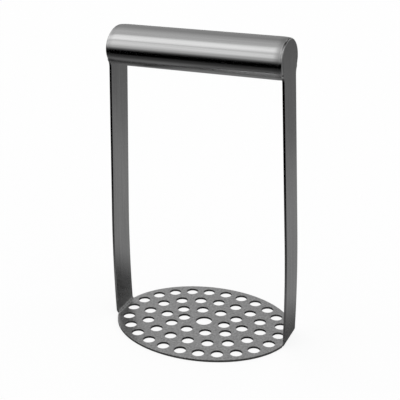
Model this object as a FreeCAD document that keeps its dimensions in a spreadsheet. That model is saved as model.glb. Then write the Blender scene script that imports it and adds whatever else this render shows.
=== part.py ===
import FreeCAD, Part
import Sketcher
import math
import os

# Potato masher: one bent sheet frame, an oval handle tube between its two ends, and the
# weld seam round each end of the tube. Millimetres, +Z up, X along the handle, Y front to
# back, origin at the middle of the pressing plate's underside.

doc = FreeCAD.newDocument("potato_masher")

# ---------------------------------------------------------------- driving sizes

SIZES = (
    ("sheet_thickness", 1.5),      # the frame's sheet
    ("frame_width", 123.2),        # over the arms where they stand widest apart
    ("arm_width", 21.8),           # front to back
    ("arm_lean", 2.1),             # degrees that the upper arms lean in
    ("bow_height", 35.0),          # height where the arms stand widest apart
    ("bow_radius", 1100.0),        # gentle curve of the lower arms, outer face
    ("bend_radius", 2.0),          # inside of the bend from plate to arm
    ("plate_width", 95.8),         # front to back
    ("plate_end_inset", 0.5),      # the plate's oval ends this far inside frame_width
    ("neck_radius", 7.0),          # hollow corner where an arm's edge meets its oval end
    ("handle_height", 187.9),      # tube axis above the plate's underside
    ("tube_depth", 32.4),          # oval tube, front to back
    ("tube_rise", 25.1),           # oval tube, top to bottom
    ("tube_wall", 1.2),
    ("seam_size", 0.9),            # bevel on the tube's ends that the weld fills
    ("hole_diameter", 8.2),
    ("centre_hole_diameter", 11.0),
    ("hole_margin", 7.8),          # plate edge to the centres of the outer ring of holes
    ("ring_gap", 12.9),            # from one ring of holes to the next
    ("hole_pitch", 12.7),          # aimed spacing of the holes along a ring
    ("least_web", 2.5),            # least metal between the centre hole and the others
)

sheet = doc.addObject("Spreadsheet::Sheet", "sizes")
for row, (alias, value) in enumerate(SIZES, start=1):
    sheet.set("A%d" % row, alias)
    sheet.set("B%d" % row, str(value))
    sheet.setAlias("B%d" % row, alias)
doc.recompute()


def size(alias):
    return float(sheet.get(alias))


def bind(obj, **formulas):
    """Binds properties of an object to formulas in which sizes are written [alias]."""
    for prop, formula in formulas.items():
        obj.setExpression(prop, formula.replace("[", "<<sizes>>.").replace("]", ""))


# Formulas that several pieces share. The bow is the arc of the lower arm's outer face.
BOW_X = "([frame_width] / 2 - [bow_radius])"
BEND_OUTER = "([bend_radius] + [sheet_thickness])"
BEND_X = ("(" + BOW_X + " + sqrt(([bow_radius] - " + BEND_OUTER + ")^2"
          " - ([bow_height] - " + BEND_OUTER + ")^2))")
LEAN = "[arm_lean] * 1 deg"
MITRE_FOOT = "([handle_height] - [tube_rise])"
MITRE_X = ("(" + BOW_X + " + ([bow_radius] - [sheet_thickness]"
           " - (" + MITRE_FOOT + " - [bow_height]) * sin(" + LEAN + "))"
           " / cos(" + LEAN + "))")
ARM_TOP = "([handle_height] + [tube_rise])"
PAST_BOTH_ARMS = "([frame_width] * 1.1)"
NO_INSET = "0"

X_AXIS = FreeCAD.Vector(1, 0, 0)
Y_AXIS = FreeCAD.Vector(0, 1, 0)
Z_AXIS = FreeCAD.Vector(0, 0, 1)
MIDDLE = FreeCAD.Vector(0, 0, 0)
UPRIGHT_OVAL = FreeCAD.Rotation(FreeCAD.Vector(1, 1, 1), 120)
LEANING_IN = FreeCAD.Rotation(-Y_AXIS, 1)


def origin_plane(body, role):
    for feature in body.Origin.OriginFeatures:
        if feature.Role == role:
            return feature


def new_sketch(body, name, role):
    sketch = body.newObject("Sketcher::SketchObject", name)
    sketch.AttachmentSupport = [(origin_plane(body, role), "")]
    sketch.MapMode = "FlatFace"
    return sketch


# ---------------------------------------------------------------- bent strip

def side_strip():
    """Half of the sheet seen from the front: half the plate, the bend and one arm."""
    thick = size("sheet_thickness")
    lean = math.radians(size("arm_lean"))
    bow_r = size("bow_radius")
    bow = FreeCAD.Vector(size("frame_width") / 2 - bow_r, size("bow_height"), 0)
    bend_r = size("bend_radius") + thick
    bend_x = bow.x + math.sqrt((bow_r - bend_r) ** 2 - (bow.y - bend_r) ** 2)
    bend = FreeCAD.Vector(bend_x, bend_r, 0)
    turn = math.asin((bend.y - bow.y) / (bow_r - bend_r))
    top = size("handle_height") + size("tube_rise")
    rise = (top - bow.y - bow_r * math.sin(lean)) / math.cos(lean)

    def on_arc(centre, radius, angle):
        return centre + FreeCAD.Vector(math.cos(angle), math.sin(angle), 0) * radius

    def arc(centre, radius, start, end):
        circle = Part.Circle(centre, Z_AXIS, radius)
        return Part.ArcOfCircle(circle, start, end)

    up = FreeCAD.Vector(-math.sin(lean), math.cos(lean), 0) * rise
    foot_out = on_arc(bow, bow_r, lean)
    foot_in = on_arc(bow, bow_r - thick, lean)
    start_in = FreeCAD.Vector(0, thick, 0)
    below = FreeCAD.Vector(bend.x, 0, 0)
    above = FreeCAD.Vector(bend.x, thick, 0)

    body = doc.addObject("PartDesign::Body", "side_strip")
    sketch = new_sketch(body, "strip_profile", "XZ_Plane")
    underside = sketch.addGeometry(Part.LineSegment(MIDDLE, below))
    bend_out = sketch.addGeometry(arc(bend, bend_r, -math.pi / 2, turn))
    bow_out = sketch.addGeometry(arc(bow, bow_r, turn, lean))
    arm_out = sketch.addGeometry(Part.LineSegment(foot_out, foot_out + up))
    arm_end = sketch.addGeometry(Part.LineSegment(foot_out + up, foot_in + up))
    arm_in = sketch.addGeometry(Part.LineSegment(foot_in + up, foot_in))
    bow_in = sketch.addGeometry(arc(bow, bow_r - thick, turn, lean))
    bend_in = sketch.addGeometry(arc(bend, bend_r - thick, -math.pi / 2, turn))
    topside = sketch.addGeometry(Part.LineSegment(above, start_in))
    middle = sketch.addGeometry(Part.LineSegment(start_in, MIDDLE))

    def hold(*constraint):
        return sketch.addConstraint(Sketcher.Constraint(*constraint))

    hold("Coincident", underside, 1, -1, 1)
    hold("Tangent", underside, 2, bend_out, 1)
    hold("Tangent", bend_out, 2, bow_out, 1)
    hold("Tangent", bow_out, 2, arm_out, 1)
    hold("Coincident", arm_out, 2, arm_end, 1)
    hold("Perpendicular", arm_out, arm_end)
    hold("Coincident", arm_end, 2, arm_in, 1)
    hold("Tangent", arm_in, 2, bow_in, 2)
    hold("Tangent", bow_in, 1, bend_in, 2)
    hold("Tangent", bend_in, 1, topside, 1)
    hold("Coincident", topside, 2, middle, 1)
    hold("Coincident", middle, 2, underside, 1)
    hold("Horizontal", underside)
    hold("Vertical", middle)
    hold("Horizontal", topside)
    hold("Coincident", bow_in, 3, bow_out, 3)
    named = (
        ("thickness", ("DistanceY", middle, 2, middle, 1, thick), "[sheet_thickness]"),
        ("bend", ("Radius", bend_in, bend_r - thick), "[bend_radius]"),
        ("bend_outer", ("Radius", bend_out, bend_r), BEND_OUTER),
        ("bow", ("Radius", bow_out, bow_r), "[bow_radius]"),
        ("bow_x", ("DistanceX", -1, 1, bow_out, 3, bow.x), BOW_X),
        ("bow_height", ("DistanceY", -1, 1, bow_out, 3, bow.y), "[bow_height]"),
        ("top", ("DistanceY", -1, 1, arm_out, 2, top), ARM_TOP),
        ("lean", ("Angle", -2, 1, arm_out, 1, lean), LEAN),
    )
    for name, constraint, formula in named:
        index = hold(*constraint)
        sketch.renameConstraint(index, name)
        bind(sketch, **{"Constraints." + name: formula})

    pad = body.newObject("PartDesign::Pad", "half_strip")
    pad.Profile = sketch
    pad.Midplane = True
    bind(pad, Length="[plate_width]")
    both = body.newObject("PartDesign::Mirrored", "whole_strip")
    both.Originals = [pad]
    both.MirrorPlane = (origin_plane(body, "YZ_Plane"), [""])
    body.Tip = both
    doc.recompute()
    return body


# ---------------------------------------------------------------- shared building steps

def mirrored(source, name):
    copy = doc.addObject("Part::Mirroring", name)
    copy.Source = source
    copy.Normal = X_AXIS
    return copy


def cut(base, tool, name):
    result = doc.addObject("Part::Cut", name)
    result.Base = base
    result.Tool = tool
    return result


def fuse(name, *pieces):
    result = doc.addObject("Part::MultiFuse", name)
    result.Shapes = list(pieces)
    result.Refine = True
    return result


def common(name, first, second):
    result = doc.addObject("Part::Common", name)
    result.Base = first
    result.Tool = second
    return result


def extruded(name, outline, direction, length, both_ways=True):
    bar = doc.addObject("Part::Extrusion", name)
    bar.Base = outline
    bar.DirMode = "Custom"
    bar.Dir = direction
    bar.Symmetric = both_ways
    bar.Solid = True
    bind(bar, LengthFwd=length)
    return bar


def oval_bar(name, inset):
    """A solid oval bar along X, smaller than the handle tube by the inset all round."""
    oval = doc.addObject("Part::Ellipse", name + "_oval")
    oval.Placement = FreeCAD.Placement(MIDDLE, UPRIGHT_OVAL)
    bind(oval, MajorRadius="[tube_depth] / 2 - " + inset,
         MinorRadius="[tube_rise] / 2 - " + inset)
    bind(oval, **{".Placement.Base.z": "[handle_height]"})
    return extruded(name, oval, X_AXIS, PAST_BOTH_ARMS)


def box(name, length, width, height, **corner):
    """A block of that size with its lowest corner at x, y, z, or zero where not given."""
    block = doc.addObject("Part::Box", name)
    bind(block, Length=length, Width=width, Height=height)
    for axis, formula in corner.items():
        bind(block, **{".Placement.Base." + axis: formula})
    return block


def edges_along_x(shape, y_size):
    """Number and height of each straight edge along X that far from the middle plane."""
    found = []
    for number, edge in enumerate(shape.Edges, start=1):
        if len(edge.Vertexes) != 2:
            continue
        one, other = (vertex.Point for vertex in edge.Vertexes)
        along = math.dist((one.y, one.z), (other.y, other.z)) < 1e-4
        if along and abs(abs(one.y) - y_size) < 1e-3:
            found.append((number, one.z))
    return found


# ---------------------------------------------------------------- frame

def end_outline():
    """A bar along X with the side view of an arm that runs up into its oval end."""
    oval = oval_bar("end_oval", NO_INSET)
    arm = box("arm_bar", PAST_BOTH_ARMS, "[arm_width]", "[handle_height] + [tube_rise]",
              x="-" + PAST_BOTH_ARMS + " / 2", y="-[arm_width] / 2", z="-[tube_rise]")
    blank = fuse("end_blank", oval, arm)
    doc.recompute()
    body = doc.addObject("PartDesign::Body", "end_outline")
    body.BaseFeature = blank
    doc.recompute()
    edges = edges_along_x(body.Shape, size("arm_width") / 2)
    necks = ["Edge%d" % number for number, z in edges if z > 0]
    neck = body.newObject("PartDesign::Fillet", "neck")
    neck.Base = (body.BaseFeature, necks)
    bind(neck, Radius="[neck_radius]")
    body.Tip = neck
    doc.recompute()
    return body


def plate_outline():
    """The oval plate, notched at both ends where the sheet leaves it for the arms."""
    oval = doc.addObject("Part::Ellipse", "plate_oval")
    bind(oval, MajorRadius="[frame_width] / 2 - [plate_end_inset]",
         MinorRadius="[plate_width] / 2")
    disc = extruded("plate_disc", oval, Z_AXIS, "[sheet_thickness]", both_ways=False)
    notch = box("bend_notch", "[frame_width]", "[arm_width]", "[sheet_thickness] * 3",
                x=BEND_X, y="-[arm_width] / 2", z="-[sheet_thickness]")
    one_end = cut(disc, notch, "plate_one_notch")
    return cut(one_end, mirrored(notch, "other_notch"), "plate_outline")


def along_oval(half_length, half_width, count):
    """Points evenly spaced along an oval, the first at its +X end."""
    steps = 720
    points = []
    for step in range(steps + 1):
        angle = 2 * math.pi * step / steps
        points.append((half_length * math.cos(angle), half_width * math.sin(angle)))
    travelled = [0.0]
    for before, after in zip(points, points[1:]):
        travelled.append(travelled[-1] + math.dist(before, after))
    spaced = []
    step = 0
    for number in range(count):
        target = travelled[-1] * number / count
        while travelled[step + 1] < target:
            step += 1
        share = (target - travelled[step]) / (travelled[step + 1] - travelled[step])
        spaced.append(tuple(a + (b - a) * share for a, b in zip(points[step], points[step + 1])))
    return travelled[-1], spaced


def hole_centres():
    """Rings of holes inside the plate's edge, then a row of holes along the middle."""
    long_half = size("frame_width") / 2 - size("plate_end_inset") - size("hole_margin")
    short_half = size("plate_width") / 2 - size("hole_margin")
    clear = (size("centre_hole_diameter") + size("hole_diameter")) / 2 + size("least_web")
    centres = []
    while short_half >= clear:
        around, _ = along_oval(long_half, short_half, 1)
        count = 2 * round(around / size("hole_pitch") / 2)
        centres += along_oval(long_half, short_half, count)[1]
        long_half -= size("ring_gap")
        short_half -= size("ring_gap")
    while long_half >= clear:
        centres += [(long_half, 0.0), (-long_half, 0.0)]
        long_half -= size("ring_gap")
    return centres


def hole_punches():
    """Round bars that stand through the plate wherever it has a hole."""
    circles = doc.addObject("Sketcher::SketchObject", "hole_circles")

    def circle_at(x, y, alias):
        radius = size(alias) / 2
        circle = circles.addGeometry(Part.Circle(FreeCAD.Vector(x, y, 0), Z_AXIS, radius))
        circles.addConstraint(Sketcher.Constraint("DistanceX", -1, 1, circle, 3, x))
        circles.addConstraint(Sketcher.Constraint("DistanceY", -1, 1, circle, 3, y))
        return circle

    def hold_diameter(circle, alias):
        index = circles.addConstraint(Sketcher.Constraint("Diameter", circle, size(alias)))
        circles.renameConstraint(index, alias)
        bind(circles, **{"Constraints." + alias: "[" + alias + "]"})

    hold_diameter(circle_at(0, 0, "centre_hole_diameter"), "centre_hole_diameter")
    ringed = [circle_at(x, y, "hole_diameter") for x, y in hole_centres()]
    hold_diameter(ringed[0], "hole_diameter")
    for circle in ringed[1:]:
        circles.addConstraint(Sketcher.Constraint("Equal", ringed[0], circle))
    return extruded("hole_punches", circles, Z_AXIS, "[sheet_thickness] * 4")


def frame():
    arms = common("arms_and_ends", side_strip(), end_outline())
    solid = fuse("unpunched_frame", arms, plate_outline())
    return cut(solid, hole_punches(), "frame")


# ---------------------------------------------------------------- handle tube and seams

def tube_blank():
    """The oval tube, its ends cut at the slant of the arms that they stand against."""
    outside = oval_bar("tube_outside", NO_INSET)
    bore = oval_bar("tube_bore", "[tube_wall]")
    mitre = box("mitre", "[frame_width] / 2", "[tube_depth] * 2", "[tube_rise] * 2",
                x=MITRE_X, y="-[tube_depth]", z=MITRE_FOOT)
    mitre.Placement = FreeCAD.Placement(MIDDLE, LEANING_IN)
    bind(mitre, **{".Placement.Rotation.Angle": LEAN})
    pipe = cut(outside, bore, "long_tube")
    one_end = cut(pipe, mitre, "tube_one_mitre")
    return cut(one_end, mirrored(mitre, "other_mitre"), "tube_blank")


def handle_tube(blank):
    """The tube with its outer end edges bevelled for the weld."""
    doc.recompute()
    body = doc.addObject("PartDesign::Body", "handle_tube")
    body.BaseFeature = blank
    doc.recompute()
    least_depth = size("tube_depth") - size("tube_wall")
    rims = ["Edge%d" % number for number, edge in enumerate(body.Shape.Edges, start=1)
            if edge.isClosed() and edge.BoundBox.YLength > least_depth]
    bevel = body.newObject("PartDesign::Chamfer", "end_bevels")
    bevel.Base = (body.BaseFeature, rims)
    bind(bevel, Size="[seam_size]")
    body.Tip = bevel
    doc.recompute()
    return body


def seams(blank, tube):
    """The weld metal in the bevels, ground flush with the tube."""
    both = cut(blank, tube, "both_seams")
    half = box("right_half", "[frame_width]", "[tube_depth] * 2", "[tube_rise] * 2",
               y="-[tube_depth]", z=MITRE_FOOT)
    right = common("right_seam", both, half)
    left = mirrored(right, "left_seam")
    return left, right


# ---------------------------------------------------------------- check and write

blank = tube_blank()
tube = handle_tube(blank)
left_seam, right_seam = seams(blank, tube)
PARTS = (frame(), tube, left_seam, right_seam)
doc.recompute()

for obj in doc.Objects:
    if {"Invalid", "Error"} & set(obj.State):
        raise RuntimeError("%s failed: %s" % (obj.Label, obj.State))
for part in PARTS:
    if part.Shape.isNull() or not part.Shape.isValid() or not part.Shape.Solids:
        raise RuntimeError("%s has no valid solid" % part.Label)

os.makedirs("parts", exist_ok=True)
for part in PARTS:
    part.Shape.exportStep("parts/%s.step" % part.Label)
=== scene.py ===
import math
from typing import NamedTuple

import bmesh
import bpy
from mathutils import Matrix, Vector


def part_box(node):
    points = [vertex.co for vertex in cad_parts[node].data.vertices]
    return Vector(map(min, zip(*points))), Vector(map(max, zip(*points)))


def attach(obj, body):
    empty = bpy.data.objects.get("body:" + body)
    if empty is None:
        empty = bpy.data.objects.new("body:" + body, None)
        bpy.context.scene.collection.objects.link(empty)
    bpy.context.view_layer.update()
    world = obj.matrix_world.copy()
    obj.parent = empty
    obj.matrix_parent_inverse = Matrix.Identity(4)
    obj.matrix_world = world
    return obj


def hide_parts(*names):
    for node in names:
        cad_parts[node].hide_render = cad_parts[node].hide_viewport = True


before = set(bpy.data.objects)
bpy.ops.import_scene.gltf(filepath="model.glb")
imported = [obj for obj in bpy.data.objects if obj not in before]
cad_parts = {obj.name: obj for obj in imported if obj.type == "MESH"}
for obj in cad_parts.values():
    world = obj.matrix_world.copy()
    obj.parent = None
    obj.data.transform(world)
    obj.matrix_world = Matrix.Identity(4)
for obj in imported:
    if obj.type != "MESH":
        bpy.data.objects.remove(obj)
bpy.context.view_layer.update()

FRAME_HIGH = Vector(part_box("frame")[1])
TUBE_LOW, TUBE_HIGH = (Vector(corner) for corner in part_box("handle_tube"))
MM = 0.001

# The sheet, as it is cut, punched and bent.
SHEET = 1.5 * MM
HALF_WIDTH = FRAME_HIGH.x
HALF_ARM = 10.9 * MM
LEAN = math.radians(2.1)
BOW_HEIGHT = 35.0 * MM
BOW_RADIUS = 1100.0 * MM
BEND_OUTSIDE = 3.5 * MM
NECK_RADIUS = 7.0 * MM
PLATE_LENGTH_HALF = HALF_WIDTH - 0.5 * MM
PLATE_WIDTH_HALF = FRAME_HIGH.y
SLIT = 0.06 * MM              # saw cut beside each bend, so that the arm can fold
EDGE_ROUND = 0.05 * MM        # deburred edges
HEAD_ROUND = 1.2 * MM         # edge of each oval head, ground round after welding
HOLE = 8.2 * MM
CENTRE_HOLE = 11.0 * MM
HOLE_MARGIN = 7.8 * MM
RING_GAP = 12.9 * MM
HOLES_IN_RINGS = (24, 16, 10)

# The handle tube and its two seams.
TUBE_HEIGHT = (TUBE_LOW.z + TUBE_HIGH.z) / 2
TUBE_DEPTH_HALF = TUBE_HIGH.y
TUBE_RISE_HALF = (TUBE_HIGH.z - TUBE_LOW.z) / 2
TUBE_WALL = 1.2 * MM
SEAM = 0.9 * MM
CROWN_LENGTH = 4.5 * MM       # how far in from each end the grinding reaches
CROWN_DROP = 0.28 * MM        # how much it takes off at the very end

# How finely each curve is divided.
PLATE_STEPS = 240
HOLE_STEPS = 44
CENTRE_HOLE_STEPS = 60
OVAL_STEPS = 192              # the tube, and the heads that match it
NECK_STEPS = 12
HEAD_ROUND_STEPS = 7
EDGE_ROUND_STEPS = 2
BEND_STEPS = 16
BOW_STEPS = 24
ARM_STEPS = 12
CROWN_STEPS = 8

# Points nearer than these are made one.
MERGE = 0.02 * MM
MIRROR_MERGE = 0.01 * MM
SLIVER = 0.002 * MM

# Angles in radians. Edges that turn by more than a crease are shaded sharp.
SQUARE_WITHIN = 0.1
SHEET_CREASE = math.radians(60)
TUBE_CREASE = math.radians(30)

# Where the camera stands, as seen from a point between the arms.
CAMERA_AZIMUTH = math.radians(23.25)
CAMERA_ELEVATION = math.radians(22.62)
CAMERA_ROLL = math.radians(-0.79)
CAMERA_DISTANCE = 606.5 * MM
CAMERA_AIM = Vector((-1.73 * MM, 0.0, 90.2 * MM))
CAMERA_LENS = 84.6


# ---------------------------------------------------------------- the sheet's path

# Seen from the front, the sheet's outer face runs flat, round the bend, along the bow and
# then straight up the leaning arm. Lengths along it start at the middle of the plate.
BOW_CENTRE = Vector((HALF_WIDTH - BOW_RADIUS, 0, BOW_HEIGHT))
BEND_X = BOW_CENTRE.x + math.sqrt((BOW_RADIUS - BEND_OUTSIDE) ** 2
                                  - (BOW_HEIGHT - BEND_OUTSIDE) ** 2)
BEND_CENTRE = Vector((BEND_X, 0, BEND_OUTSIDE))
FOOT_ANGLE = math.asin((BEND_OUTSIDE - BOW_HEIGHT) / (BOW_RADIUS - BEND_OUTSIDE))
BEND_END = BEND_X + BEND_OUTSIDE * (math.pi / 2 + FOOT_ANGLE)
BOW_END = BEND_END + BOW_RADIUS * (LEAN - FOOT_ANGLE)
LEAN_OUTWARD = Vector((math.cos(LEAN), 0, math.sin(LEAN)))
LEAN_UPWARD = Vector((-math.sin(LEAN), 0, math.cos(LEAN)))
STRAIGHT_FROM = BOW_CENTRE + LEAN_OUTWARD * BOW_RADIUS
HEAD_MIDDLE = BOW_END + (TUBE_HEIGHT - STRAIGHT_FROM.z) / math.cos(LEAN)
HEAD_LENGTH_HALF = (TUBE_RISE_HALF - CROWN_DROP) / math.cos(LEAN)
HEAD_WIDTH_HALF = TUBE_DEPTH_HALF - CROWN_DROP
HEAD_TIP = HEAD_MIDDLE + HEAD_LENGTH_HALF


def outer_face(length):
    """Point of the outer face, and the way from it through the sheet to the inner face."""
    if length <= BEND_X:
        return Vector((length, 0, 0)), Vector((0, 0, 1))
    if length <= BEND_END:
        turn = (length - BEND_X) / BEND_OUTSIDE
        outward = Vector((math.sin(turn), 0, -math.cos(turn)))
        return BEND_CENTRE + outward * BEND_OUTSIDE, -outward
    if length <= BOW_END:
        angle = FOOT_ANGLE + (length - BEND_END) / BOW_RADIUS
        outward = Vector((math.cos(angle), 0, math.sin(angle)))
        return BOW_CENTRE + outward * BOW_RADIUS, -outward
    return STRAIGHT_FROM + LEAN_UPWARD * (length - BOW_END), -LEAN_OUTWARD


def taper_heads(bm):
    """Carries the crown's slope on from the end of the tube over the thickness of each head."""
    head_from = neck_round()[1].x
    slope = 2 * CROWN_DROP / CROWN_LENGTH
    for vert in bm.verts:
        reach = min(1.0, max(0.0, (abs(vert.co.x) - head_from) / NECK_RADIUS))
        smaller = reach * slope * (SHEET - vert.co.z) / HEAD_WIDTH_HALF
        vert.co.x += (math.copysign(HEAD_MIDDLE, vert.co.x) - vert.co.x) * smaller
        vert.co.y -= vert.co.y * smaller


def bend(bm):
    """Folds the flat blank up along the sheet's path. The plate's shoulders stay flat."""
    for vert in bm.verts:
        side = math.copysign(1, vert.co.x)
        if abs(vert.co.y) > HALF_ARM + SLIT / 2 and abs(vert.co.x) < PLATE_LENGTH_HALF:
            continue
        point, inward = outer_face(abs(vert.co.x))
        moved = point + inward * vert.co.z
        vert.co = Vector((moved.x * side, vert.co.y, moved.z))


def bend_stations():
    """Lengths at which the flat sheet is divided so that it can follow its path."""
    for step in range(BEND_STEPS + 1):
        yield BEND_X + (BEND_END - BEND_X) * step / BEND_STEPS
    for step in range(1, BOW_STEPS + 1):
        yield BEND_END + (BOW_END - BEND_END) * step / BOW_STEPS
    for step in range(1, ARM_STEPS):
        yield BOW_END + (HEAD_TIP - BOW_END) * step / ARM_STEPS


# ---------------------------------------------------------------- mesh helpers

def everything(bm):
    return bm.verts[:] + bm.edges[:] + bm.faces[:]


def only(kind, geom):
    return [part for part in geom if isinstance(part, kind)]


def edges_of(verts):
    """The edges that meet some points, each once and in the same order every time."""
    return list(dict.fromkeys(edge for vert in verts for edge in vert.link_edges))


def trim(bm, geom, at, away):
    """Cuts geometry along a plane and drops what lies on the plane's away side."""
    bmesh.ops.bisect_plane(bm, geom=geom, plane_co=at, plane_no=away, clear_outer=True)


def oval_wire(bm, long_half, short_half, centre, segments):
    ring = bmesh.ops.create_circle(bm, segments=segments, radius=1.0)["verts"]
    bmesh.ops.scale(bm, verts=ring, vec=(long_half, short_half, 1))
    bmesh.ops.translate(bm, verts=ring, vec=centre)
    return ring + edges_of(ring)


def is_square(edge):
    return abs(edge.calc_face_angle(0) - math.pi / 2) < SQUARE_WITHIN


def rounded(bm, edges, radius, segments):
    bmesh.ops.bevel(bm, geom=edges, offset=radius, offset_type="OFFSET", segments=segments,
                    profile=0.5, affect="EDGES", clamp_overlap=False, material=-1)


def shade(bm, crease):
    """Shades the mesh smooth, but for the edges that turn by more than the crease angle."""
    for face in bm.faces:
        face.smooth = True
    for edge in bm.edges:
        edge.smooth = edge.calc_face_angle(0) < crease


# ---------------------------------------------------------------- the blank

def neck_round():
    """Centre of the neck's round, and the point where it runs into the head's oval.

    The round touches the arm's straight edge at its other end.
    """
    across = HALF_ARM + NECK_RADIUS
    low, high = math.pi / 2, math.pi
    for _halving in range(50):
        angle = (low + high) / 2
        touch = Vector((HEAD_MIDDLE + HEAD_LENGTH_HALF * math.cos(angle),
                        HEAD_WIDTH_HALF * math.sin(angle), 0))
        normal = Vector((math.cos(angle) / HEAD_LENGTH_HALF, math.sin(angle) / HEAD_WIDTH_HALF, 0))
        centre = touch + normal.normalized() * NECK_RADIUS
        if centre.y > across:
            low = angle
        else:
            high = angle
    return centre, touch


def blank_edge(bm):
    """The edge of the flat blank. One quarter is drawn and then mirrored twice."""
    plate = oval_wire(bm, PLATE_LENGTH_HALF, PLATE_WIDTH_HALF, (0, 0, 0), PLATE_STEPS)
    trim(bm, plate, (0, HALF_ARM + SLIT, 0), (0, -1, 0))
    trim(bm, everything(bm), (0, 0, 0), (-1, 0, 0))
    centre, touch = neck_round()
    tip = min(bm.verts, key=lambda vert: vert.co.y)
    slit_end = BEND_X - SLIT
    for place in ((slit_end, HALF_ARM + SLIT, 0), (slit_end, HALF_ARM, 0), (centre.x, HALF_ARM, 0)):
        tip = bmesh.ops.extrude_vert_indiv(bm, verts=[tip])["verts"][0]
        tip.co = Vector(place)
    reach = math.pi / 2 + math.atan2(touch.y - centre.y, touch.x - centre.x)
    bmesh.ops.spin(bm, geom=[tip], cent=centre, axis=(0, 0, 1), angle=reach,
                   steps=NECK_STEPS)
    head = oval_wire(bm, HEAD_LENGTH_HALF, HEAD_WIDTH_HALF, (HEAD_MIDDLE, 0, 0), OVAL_STEPS)
    trim(bm, head, touch, (-1, 0, 0))
    trim(bm, everything(bm), (0, 0, 0), (0, -1, 0))
    bmesh.ops.remove_doubles(bm, verts=bm.verts[:], dist=MERGE)
    for axis in ("Y", "X"):
        bmesh.ops.mirror(bm, geom=everything(bm), axis=axis, merge_dist=MIRROR_MERGE)


def along_oval(half_length, half_width, count):
    """Points evenly spaced along an oval, the first at its +X end."""
    samples = 1440
    turns = [2 * math.pi * step / samples for step in range(samples + 1)]
    fine = [Vector((half_length * math.cos(turn), half_width * math.sin(turn), 0)) for turn in turns]
    lengths = [0.0]
    for before, after in zip(fine, fine[1:]):
        lengths.append(lengths[-1] + (after - before).length)
    step = 0
    for number in range(count):
        while lengths[step + 1] < lengths[-1] * number / count:
            step += 1
        yield fine[step]


def hole_centres():
    long_half = PLATE_LENGTH_HALF - HOLE_MARGIN
    short_half = PLATE_WIDTH_HALF - HOLE_MARGIN
    for count in HOLES_IN_RINGS:
        yield from along_oval(long_half, short_half, count)
        long_half -= RING_GAP
        short_half -= RING_GAP
    yield Vector((long_half, 0, 0))
    yield Vector((-long_half, 0, 0))


def rim(bm, low, high, from_x, to_x):
    """Square edges of the flat sheet between two heights and two distances from the middle."""
    return [edge for edge in bm.edges
            if is_square(edge) and all(low < vert.co.z < high and from_x < abs(vert.co.x) < to_x
                                       for vert in edge.verts)]


def round_edges(bm):
    """Grinds the outer edge of each head round and deburrs the rest of the sheet.

    The flat sheet's outer face is at height 0 and its inner face at SHEET. The heads' inner
    edges stay square, because the seams meet them there.
    """
    middle = SHEET / 2
    head_from = neck_round()[1].x
    neck_end = head_from * 1.0001     # a hair past the neck, to take in its last point
    rounded(bm, rim(bm, -middle, middle, head_from, math.inf), HEAD_ROUND, HEAD_ROUND_STEPS)
    rounded(bm, rim(bm, -middle, middle, -math.inf, neck_end), EDGE_ROUND, EDGE_ROUND_STEPS)
    rounded(bm, rim(bm, middle, 2 * SHEET, -math.inf, neck_end), EDGE_ROUND, EDGE_ROUND_STEPS)


def mark_cut_edges(bm):
    """Stores how much each point belongs to a sheared edge, which the finish reads."""
    cut_edge = bm.verts.layers.float.new("cut_edge")
    for vert in bm.verts:
        vert[cut_edge] = 1 - abs(vert.normal.z)


def sheet_mesh():
    bm = bmesh.new()
    blank_edge(bm)
    for centre in hole_centres():
        bmesh.ops.create_circle(bm, segments=HOLE_STEPS, radius=HOLE / 2,
                                matrix=Matrix.Translation(centre))
    bmesh.ops.create_circle(bm, segments=CENTRE_HOLE_STEPS, radius=CENTRE_HOLE / 2)
    bmesh.ops.triangle_fill(bm, use_beauty=True, edges=bm.edges[:], normal=(0, 0, -1))
    raised = bmesh.ops.extrude_face_region(bm, geom=bm.faces[:], use_keep_orig=True)["geom"]
    bmesh.ops.translate(bm, verts=only(bmesh.types.BMVert, raised), vec=(0, 0, SHEET))
    bmesh.ops.recalc_face_normals(bm, faces=bm.faces[:])
    round_edges(bm)
    bmesh.ops.dissolve_degenerate(bm, dist=SLIVER, edges=bm.edges[:])
    shade(bm, SHEET_CREASE)
    mark_cut_edges(bm)
    for side in (1, -1):
        for length in bend_stations():
            bmesh.ops.bisect_plane(bm, geom=everything(bm), plane_co=(side * length, 0, 0),
                                   plane_no=(1, 0, 0))
    taper_heads(bm)
    bend(bm)
    return bm


# ---------------------------------------------------------------- the tube and its seams

def head_plane(side, inset):
    """The inner face of an arm's head, moved in by inset, and its way outwards."""
    at = outer_face(HEAD_MIDDLE)[0] - LEAN_OUTWARD * (SHEET + inset)
    return Vector((at.x * side, 0, at.z)), Vector((LEAN_OUTWARD.x * side, 0, LEAN_OUTWARD.z))


def skin(bm):
    """The tube's outline swept along the handle and past both heads, open at both ends."""
    reach = TUBE_HIGH.x + 2 * SHEET
    ring = bmesh.ops.create_circle(bm, segments=OVAL_STEPS, radius=1.0)["verts"]
    bmesh.ops.rotate(bm, verts=ring, matrix=Matrix.Rotation(math.pi / 2, 3, "Y"))
    bmesh.ops.scale(bm, verts=ring, vec=(1, TUBE_DEPTH_HALF, TUBE_RISE_HALF))
    bmesh.ops.translate(bm, verts=ring, vec=(-reach, 0, TUBE_HEIGHT))
    swept = bmesh.ops.extrude_edge_only(bm, edges=edges_of(ring))["geom"]
    bmesh.ops.translate(bm, verts=only(bmesh.types.BMVert, swept), vec=(2 * reach, 0, 0))


def crown(bm):
    """Dips the ground surface a little towards each end of the handle."""
    for vert in bm.verts:
        head, outwards = head_plane(math.copysign(1, vert.co.x), 0)
        near = max(0.0, 1 - (head - vert.co).dot(outwards) / CROWN_LENGTH)
        drop = CROWN_DROP * near ** 2
        vert.co.y *= 1 - drop / TUBE_DEPTH_HALF
        vert.co.z -= (vert.co.z - TUBE_HEIGHT) * drop / TUBE_RISE_HALF


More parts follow.
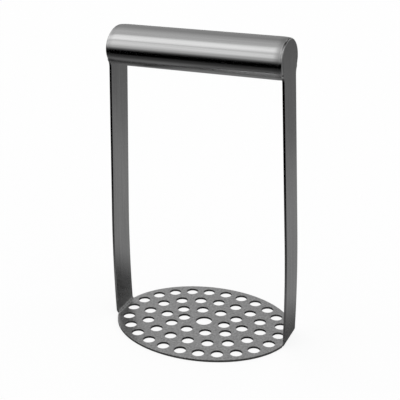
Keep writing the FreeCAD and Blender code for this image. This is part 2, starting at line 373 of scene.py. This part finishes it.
def on_outline(at):
    """Whether a point of the tube is on its outside and not its inside."""
    out = math.hypot(at.y / TUBE_DEPTH_HALF, (at.z - TUBE_HEIGHT) / TUBE_RISE_HALF)
    return out > 1 - TUBE_WALL / 2 / TUBE_RISE_HALF


def tube_mesh():
    bm = bmesh.new()
    skin(bm)
    for side in (1, -1):
        trim(bm, everything(bm), *head_plane(side, 0))
    bmesh.ops.recalc_face_normals(bm, faces=bm.faces[:])
    bmesh.ops.solidify(bm, geom=bm.faces[:], thickness=TUBE_WALL)
    bmesh.ops.recalc_face_normals(bm, faces=bm.faces[:])
    rounded(bm, [edge for edge in bm.edges
                 if is_square(edge) and all(on_outline(vert.co) for vert in edge.verts)], SEAM, 1)
    for side in (1, -1):
        for step in range(1, CROWN_STEPS + 1):
            at, away = head_plane(side, SEAM + (CROWN_LENGTH - SEAM) * step / CROWN_STEPS)
            bmesh.ops.bisect_plane(bm, geom=everything(bm), plane_co=at, plane_no=away)
    shade(bm, TUBE_CREASE)
    crown(bm)
    return bm


def seam_mesh(side):
    """A three-sided bead in the corner between the tube's bevelled end and the head."""
    bm = bmesh.new()
    skin(bm)
    head, outwards = head_plane(side, 0)
    trim(bm, everything(bm), head, outwards)
    trim(bm, everything(bm), head_plane(side, SEAM)[0], -outwards)
    rims = [edge for edge in bm.edges if edge.is_boundary]
    against_head = [edge for edge in rims
                    if all(abs((vert.co - head).dot(outwards)) < SEAM / 2 for vert in edge.verts)]
    on_tube = [edge for edge in rims if edge not in against_head]
    inner = bmesh.ops.extrude_edge_only(bm, edges=against_head)["geom"]
    in_z = 1 - SEAM / TUBE_RISE_HALF
    bmesh.ops.scale(bm, verts=only(bmesh.types.BMVert, inner), space=Matrix.Translation(-head),
                    vec=(in_z, 1 - SEAM / TUBE_DEPTH_HALF, in_z))
    bmesh.ops.bridge_loops(bm, edges=on_tube + only(bmesh.types.BMEdge, inner))
    bmesh.ops.recalc_face_normals(bm, faces=bm.faces[:])
    shade(bm, TUBE_CREASE)
    crown(bm)
    return bm


# ---------------------------------------------------------------- shader nodes

class Wire:
    """A shader value in a Python expression. Each operator adds one Math node."""

    def __init__(self, nodes, socket):
        self.nodes = nodes
        self.socket = socket

    def __add__(self, other):
        return self.nodes.maths("ADD", self, other)

    def __radd__(self, other):
        return self.nodes.maths("ADD", other, self)

    def __sub__(self, other):
        return self.nodes.maths("SUBTRACT", self, other)

    def __rsub__(self, other):
        return self.nodes.maths("SUBTRACT", other, self)

    def __mul__(self, other):
        return self.nodes.maths("MULTIPLY", self, other)

    def __rmul__(self, other):
        return self.nodes.maths("MULTIPLY", other, self)

    def __truediv__(self, other):
        return self.nodes.maths("DIVIDE", self, other)

    def __rtruediv__(self, other):
        return self.nodes.maths("DIVIDE", other, self)


class Nodes:
    """Adds nodes to the tree of one material or world."""

    def __init__(self, owner):
        owner.use_nodes = True
        self.tree = owner.node_tree
        self.tree.nodes.clear()

    def node(self, kind, settings=None, sockets=None):
        """Adds a node, makes its settings, and then fills or links its sockets."""
        made = self.tree.nodes.new(kind)
        for name, value in (settings or {}).items():
            setattr(made, name, value)
        for name, value in (sockets or {}).items():
            if isinstance(value, Wire):
                self.tree.links.new(value.socket, made.inputs[name])
            else:
                made.inputs[name].default_value = value
        return made

    def value(self, kind, output, settings=None, sockets=None):
        return Wire(self, self.node(kind, settings, sockets).outputs[output])

    def maths(self, operation, *terms):
        return self.value("ShaderNodeMath", 0, {"operation": operation}, dict(enumerate(terms)))

    def clamped(self, wire):
        return self.value("ShaderNodeClamp", 0, None, {0: wire})

    def step(self, wire, low, high):
        """0 up to low, 1 from high, and a soft step between them."""
        return self.value("ShaderNodeMapRange", 0, {"interpolation_type": "SMOOTHSTEP"},
                          {"Value": wire, "From Min": low, "From Max": high})

    def noise(self, place, cells, detail=2.0, rough=0.5, shift=(0, 0, 0)):
        """Noise about 0. It has that many cells per metre along each axis."""
        mapped = self.value("ShaderNodeMapping", 0, None,
                            {"Vector": place, "Scale": cells, "Location": shift})
        noise = self.value("ShaderNodeTexNoise", "Fac", {"noise_dimensions": "3D"},
                           {"Vector": mapped, "Scale": 1.0, "Detail": detail, "Roughness": rough})
        return noise - 0.5

    def grey(self, level):
        return self.value("ShaderNodeCombineColor", 0, None, {0: level, 1: level, 2: level})

    def axis(self, place, output):
        return self.value("ShaderNodeSeparateXYZ", output, None, {0: place})


# ---------------------------------------------------------------- finishes

SHEET_STEEL = 0.60
TUBE_STEEL = 0.47
SEAM_STEEL = 0.41


def metal(name, finish):
    """A bare metal. finish(nodes, place) gives its grey, roughness, relief and relief depth."""
    material = bpy.data.materials.new(name)
    nodes = Nodes(material)
    grey, rough, relief, depth = finish(nodes, nodes.value("ShaderNodeTexCoord", "Object"))
    bump = nodes.value("ShaderNodeBump", 0, None,
                       {"Height": relief, "Distance": depth, "Strength": 1.0})
    shader = nodes.value("ShaderNodeBsdfPrincipled", 0, None,
                         {"Base Color": nodes.grey(nodes.clamped(grey)), "Metallic": 1.0,
                          "Roughness": nodes.clamped(rough), "Normal": bump})
    nodes.node("ShaderNodeOutputMaterial", None, {"Surface": shader})
    return material


def satin_sheet(nodes, place):
    """Tumbled on the plate, rolled along its length on the arms, with sheared edges."""
    plate = 1 - nodes.step(nodes.axis(place, "Z"), 2 * MM, 25 * MM)
    sheared = nodes.value("ShaderNodeAttribute", "Fac", {"attribute_name": "cut_edge"})
    speckle = nodes.noise(place, (700, 700, 700), 3.0, 0.7)
    rolled = nodes.noise(place, (25, 700, 25), 2.0)
    cloud = nodes.noise(place, (60, 90, 30), 1.0)
    change = (0.2 + 1.6 * plate) * speckle + (0.35 - 0.2 * plate) * rolled + 0.12 * cloud
    grey = SHEET_STEEL * (1 + change) * (1 - 0.25 * sheared)
    scuffs = nodes.noise(place, (1100, 1500, 900), 2.0, shift=(3, 1, 7))
    smears = nodes.noise(place, (40, 70, 30), 1.0, shift=(9, 4, 2))
    rough = 0.19 + 0.14 * plate - 0.05 * sheared + 0.2 * scuffs + 0.06 * smears
    pits = nodes.noise(place, (2200, 2200, 2200), 2.0)
    scratches = nodes.noise(place, (60, 2600, 60), 2.0)
    return grey, rough, pits + scratches, 0.012 * MM


def brushed_tube(nodes, place):
    """Brushed lengthwise, and ground round the handle next to each seam. There its colour is also
    darkened: painted shade, where the highlight fades towards each head.
    """
    along = nodes.maths("ABSOLUTE", nodes.axis(place, "X"))
    ground = nodes.step(along, TUBE_HIGH.x - CROWN_LENGTH, TUBE_HIGH.x - 1.0 * MM)
    wide = nodes.noise(place, (5, 520, 520), 1.0, shift=(2, 0, 5))
    fine = nodes.noise(place, (14, 1900, 1900), 3.0)
    # Next to each head the colour is darkened by 0.15 as painted shade of the fading highlight; the
    # rougher, round-about grain there is the real grinding.
    grey = TUBE_STEEL * (1 + 0.22 * wide + 0.3 * fine) * (1 - 0.15 * ground)
    streaks = nodes.noise(place, (8, 1300, 1300), 2.0, shift=(4, 4, 1))
    smears = nodes.noise(place, (30, 120, 120), 1.0)
    rough = 0.17 + 0.06 * ground + 0.10 * streaks + 0.05 * smears
    lengthwise = nodes.noise(place, (20, 3600, 3600), 3.0)
    round_about = nodes.noise(place, (3600, 60, 60), 2.0)
    relief = (1 - ground) * lengthwise + ground * round_about
    return grey, rough, relief, 0.008 * MM


def ground_seam(nodes, place):
    """Weld ground flush, with marks that run round the handle."""
    marks = nodes.noise(place, (3000, 80, 80), 2.0)
    beads = nodes.noise(place, (300, 420, 420), 1.0, shift=(5, 2, 8))
    grey = SEAM_STEEL * (1 + 0.2 * marks + 0.15 * beads)
    rough = 0.24 + 0.10 * marks
    return grey, rough, marks + beads, 0.01 * MM


# ---------------------------------------------------------------- pieces

def finished(name, bm, material, node):
    """Makes a piece from its mesh and puts it in the place of a CAD node."""
    mesh = bpy.data.meshes.new(name)
    bm.to_mesh(mesh)
    bm.free()
    mesh.materials.append(material)
    piece = bpy.data.objects.new(name, mesh)
    bpy.context.scene.collection.objects.link(piece)
    weighted = piece.modifiers.new("flat_faces_stay_flat", "WEIGHTED_NORMAL")
    weighted.keep_sharp = True
    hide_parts(node)
    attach(piece, "root")


finished("bent_sheet", sheet_mesh(), metal("satin_sheet_steel", satin_sheet),
         "frame")
finished("oval_handle_tube", tube_mesh(), metal("brushed_tube_steel", brushed_tube),
         "handle_tube")
weld = metal("ground_weld_steel", ground_seam)
finished("left_weld_seam", seam_mesh(-1), weld, "left_seam")
finished("right_weld_seam", seam_mesh(1), weld, "right_seam")


# ---------------------------------------------------------------- studio

class Strip(NamedTuple):
    """A strip light parallel to the handle.

    climb is its angle in degrees, up from straight ahead. Its ends along X, its half height
    and its softness are tangents of the angles that they span.
    """
    climb: float
    from_x: float
    to_x: float
    half_high: float
    soft: float
    level: float


class Patch(NamedTuple):
    """A round patch of light or shade.

    edge and full are the cosines from its middle at which it starts and is at its level.
    """
    middle: tuple
    edge: float
    full: float
    level: float


AMBIENT = 0.38
OVERHEAD = Strip(climb=75, from_x=-1.1, to_x=-0.19, half_high=0.26, soft=0.13, level=0.76)
FRONT = Strip(climb=40, from_x=-1.2, to_x=-0.22, half_high=0.24, soft=0.14, level=0.46)
CREST = Strip(climb=78, from_x=0.2, to_x=0.9, half_high=0.20, soft=0.10, level=0.4)
BEHIND = Strip(climb=171, from_x=0.2, to_x=1.4, half_high=0.12, soft=0.06, level=0.5)
RIGHT_FRONT = Strip(climb=58, from_x=0.62, to_x=1.8, half_high=0.40, soft=0.16, level=0.45)
RIGHT_BACK = Strip(climb=120, from_x=0.80, to_x=1.8, half_high=0.40, soft=0.12, level=0.6)
SPILL = Patch(middle=(-0.70, -0.30, 0.65), edge=0.35, full=0.85, level=0.41)
FOLD_LIGHT = Patch(middle=(0.12, 0.775, 0.62), edge=0.970, full=0.995, level=0.5)
LEFT_LIGHT = Patch(middle=(-0.87, 0.25, 0.42), edge=0.88, full=0.98, level=0.4)
RIGHT_SHADE = Patch(middle=(0.42, 0.40, 0.81), edge=0.80, full=0.95, level=0.20)
BACK_SHADE = Patch(middle=(0.42, 0.775, 0.47), edge=0.75, full=0.96, level=0.36)
SILL_TOWARDS = (-0.4, -0.9, 0)
SILL_FROM_Z = -0.12
SILL_TO_Z = 0.24

# The floor's glow, as shiny surfaces mirror it. Places are in metres.
FLOOR_HALF = 6.0
FLOOR_DROP = 0.05 * MM        # keeps the floor's face off the plate's
POOL_LEVEL = 0.268
FRONT_LEVEL = 0.15
LEFT_SHADE_MIDDLE = (-0.155, 0.06)
LEFT_SHADE_REACH = (0.085, 0.13)
GLOW_SEEN = 0.84              # the rest is paper, which takes the soft shadow


def stage_rays(nodes):
    """1 for each kind of ray: from the camera, from a matt surface, and mirrored or refracted."""
    rays = nodes.node("ShaderNodeLightPath").outputs
    kinds = ("Is Camera Ray", "Is Diffuse Ray", "Is Glossy Ray", "Is Transmission Ray")
    camera, matt, glossy, refracted = (Wire(nodes, rays[kind]) for kind in kinds)
    return camera, matt, glossy + refracted


def facing(nodes, towards, direction):
    """1 for what lies in that direction, falling to -1 opposite it."""
    return nodes.value("ShaderNodeVectorMath", "Value", {"operation": "DOT_PRODUCT"},
                       {0: towards, 1: Vector(direction).normalized()})


def patch_level(nodes, towards, patch):
    return patch.level * nodes.step(facing(nodes, towards, patch.middle), patch.edge, patch.full)


def strip_level(nodes, towards, strip):
    climb = math.radians(strip.climb)
    depth = facing(nodes, towards, (0, -math.cos(climb), math.sin(climb)))
    ahead = nodes.step(depth, 0.0, 0.2)
    depth = nodes.maths("MAXIMUM", depth, 0.05)
    along = nodes.axis(towards, "X") / depth
    high = facing(nodes, towards, (0, math.sin(climb), math.cos(climb)))
    high = nodes.maths("ABSOLUTE", high / depth)
    starts = nodes.step(along, strip.from_x - strip.soft, strip.from_x + strip.soft)
    ends = nodes.step(along, strip.to_x - strip.soft, strip.to_x + strip.soft)
    fades = nodes.step(high, strip.half_high - strip.soft, strip.half_high + strip.soft)
    return strip.level * (ahead * starts * (1 - ends) * (1 - fades))


def surroundings():
    world = bpy.data.worlds.new("studio_surroundings")
    bpy.context.scene.world = world
    nodes = Nodes(world)
    camera, matt, mirrored = stage_rays(nodes)
    towards = nodes.value("ShaderNodeTexCoord", "Generated")
    light = AMBIENT
    for strip in (OVERHEAD, FRONT, CREST, BEHIND, RIGHT_FRONT, RIGHT_BACK):
        light = light + strip_level(nodes, towards, strip)
    for patch in (SPILL, FOLD_LIGHT, LEFT_LIGHT):
        light = light + patch_level(nodes, towards, patch)
    dark = nodes.maths("MAXIMUM", patch_level(nodes, towards, RIGHT_SHADE),
                       patch_level(nodes, towards, BACK_SHADE))
    in_front = nodes.step(facing(nodes, towards, SILL_TOWARDS), 0.0, 0.5)
    above = nodes.step(nodes.axis(towards, "Z"), SILL_FROM_Z, SILL_TO_Z)
    level = (1 - in_front * (1 - above)) * (light - dark)
    shader = nodes.value("ShaderNodeBackground", 0, None,
                         {"Color": (1, 1, 1, 1), "Strength": camera + matt + mirrored * level})
    nodes.node("ShaderNodeOutputWorld", None, {"Surface": shader})


def from_middle(nodes, place, middle, reach):
    """How far out a place on the floor is from an oval's middle. It is 1 on the oval."""
    scale = (1 / reach[0], 1 / reach[1], 0)
    shift = (-middle[0] / reach[0], -middle[1] / reach[1], 0)
    mapped = nodes.value("ShaderNodeMapping", 0, None,
                         {"Vector": place, "Scale": scale, "Location": shift})
    return nodes.value("ShaderNodeVectorMath", "Value", {"operation": "LENGTH"}, {0: mapped})


def floor_glow(nodes, place):
    """A pool of light round the plate, dark under it and to the left of it."""
    depth = nodes.axis(place, "Y")
    near = 0.22 * nodes.step(depth, -0.27, -0.17) + 0.78 * nodes.step(depth, -0.15, -0.01)
    far = 1 - 0.38 * nodes.step(depth, 0.20, 0.50) - 0.30 * nodes.step(depth, 0.5, 1.5)
    under = from_middle(nodes, place, (0, 0), (PLATE_LENGTH_HALF, PLATE_WIDTH_HALF))
    under = 0.04 + 0.96 * nodes.step(under, 0.6, 1.9)
    left = nodes.step(0 - nodes.axis(place, "X"), 0.25, 0.45)
    beside = from_middle(nodes, place, LEFT_SHADE_MIDDLE, LEFT_SHADE_REACH)
    beside = 0.05 + 0.95 * nodes.step(beside, 0.2, 1.0)
    front = nodes.step(0 - depth, 0.8, 4.0)
    return POOL_LEVEL * near * far * under * (1 - left) * beside + FRONT_LEVEL * front


def pale_floor():
    material = bpy.data.materials.new("pale_floor")
    nodes = Nodes(material)
    camera, _matt, mirrored = stage_rays(nodes)
    glow = floor_glow(nodes, nodes.value("ShaderNodeTexCoord", "Object"))
    glow = nodes.value("ShaderNodeEmission", 0, None,
                       {"Color": (1, 1, 1, 1), "Strength": camera + mirrored * glow})
    paper = nodes.value("ShaderNodeBsdfDiffuse", 0, None, {"Color": (0.95, 0.95, 0.95, 1)})
    lit = nodes.value("ShaderNodeMixShader", 0, None,
                      {0: GLOW_SEEN * camera + mirrored, 1: paper, 2: glow})
    clear = nodes.value("ShaderNodeBsdfTransparent", 0)
    below = nodes.value("ShaderNodeNewGeometry", "Backfacing")
    shader = nodes.value("ShaderNodeMixShader", 0, None, {0: below, 1: lit, 2: clear})
    nodes.node("ShaderNodeOutputMaterial", None, {"Surface": shader})
    return material


def floor():
    bm = bmesh.new()
    bmesh.ops.create_grid(bm, x_segments=1, y_segments=1, size=FLOOR_HALF,
                          matrix=Matrix.Translation((0, 0, -FLOOR_DROP)))
    mesh = bpy.data.meshes.new("studio_floor")
    bm.to_mesh(mesh)
    bm.free()
    mesh.materials.append(pale_floor())
    ground = bpy.data.objects.new("studio_floor", mesh)
    bpy.context.scene.collection.objects.link(ground)


surroundings()
floor()


# ---------------------------------------------------------------- camera

def place_camera():
    outward = Vector((math.sin(CAMERA_AZIMUTH) * math.cos(CAMERA_ELEVATION),
                      -math.cos(CAMERA_AZIMUTH) * math.cos(CAMERA_ELEVATION),
                      math.sin(CAMERA_ELEVATION)))
    level = Vector((0, 0, 1)).cross(outward).normalized()
    upright = outward.cross(level)
    right = level * math.cos(CAMERA_ROLL) + upright * math.sin(CAMERA_ROLL)
    top = upright * math.cos(CAMERA_ROLL) - level * math.sin(CAMERA_ROLL)
    turned = Matrix((right, top, outward)).transposed().to_4x4()
    camera = bpy.data.objects.new("camera", bpy.data.cameras.new("camera"))
    bpy.context.scene.collection.objects.link(camera)
    camera.matrix_world = Matrix.Translation(CAMERA_AIM + outward * CAMERA_DISTANCE) @ turned
    camera.data.lens = CAMERA_LENS
    camera.data.sensor_width = 36.0
    camera.data.clip_start = 10 * MM
    bpy.context.scene.camera = camera


place_camera()
bpy.context.scene.view_settings.view_transform = "Standard"
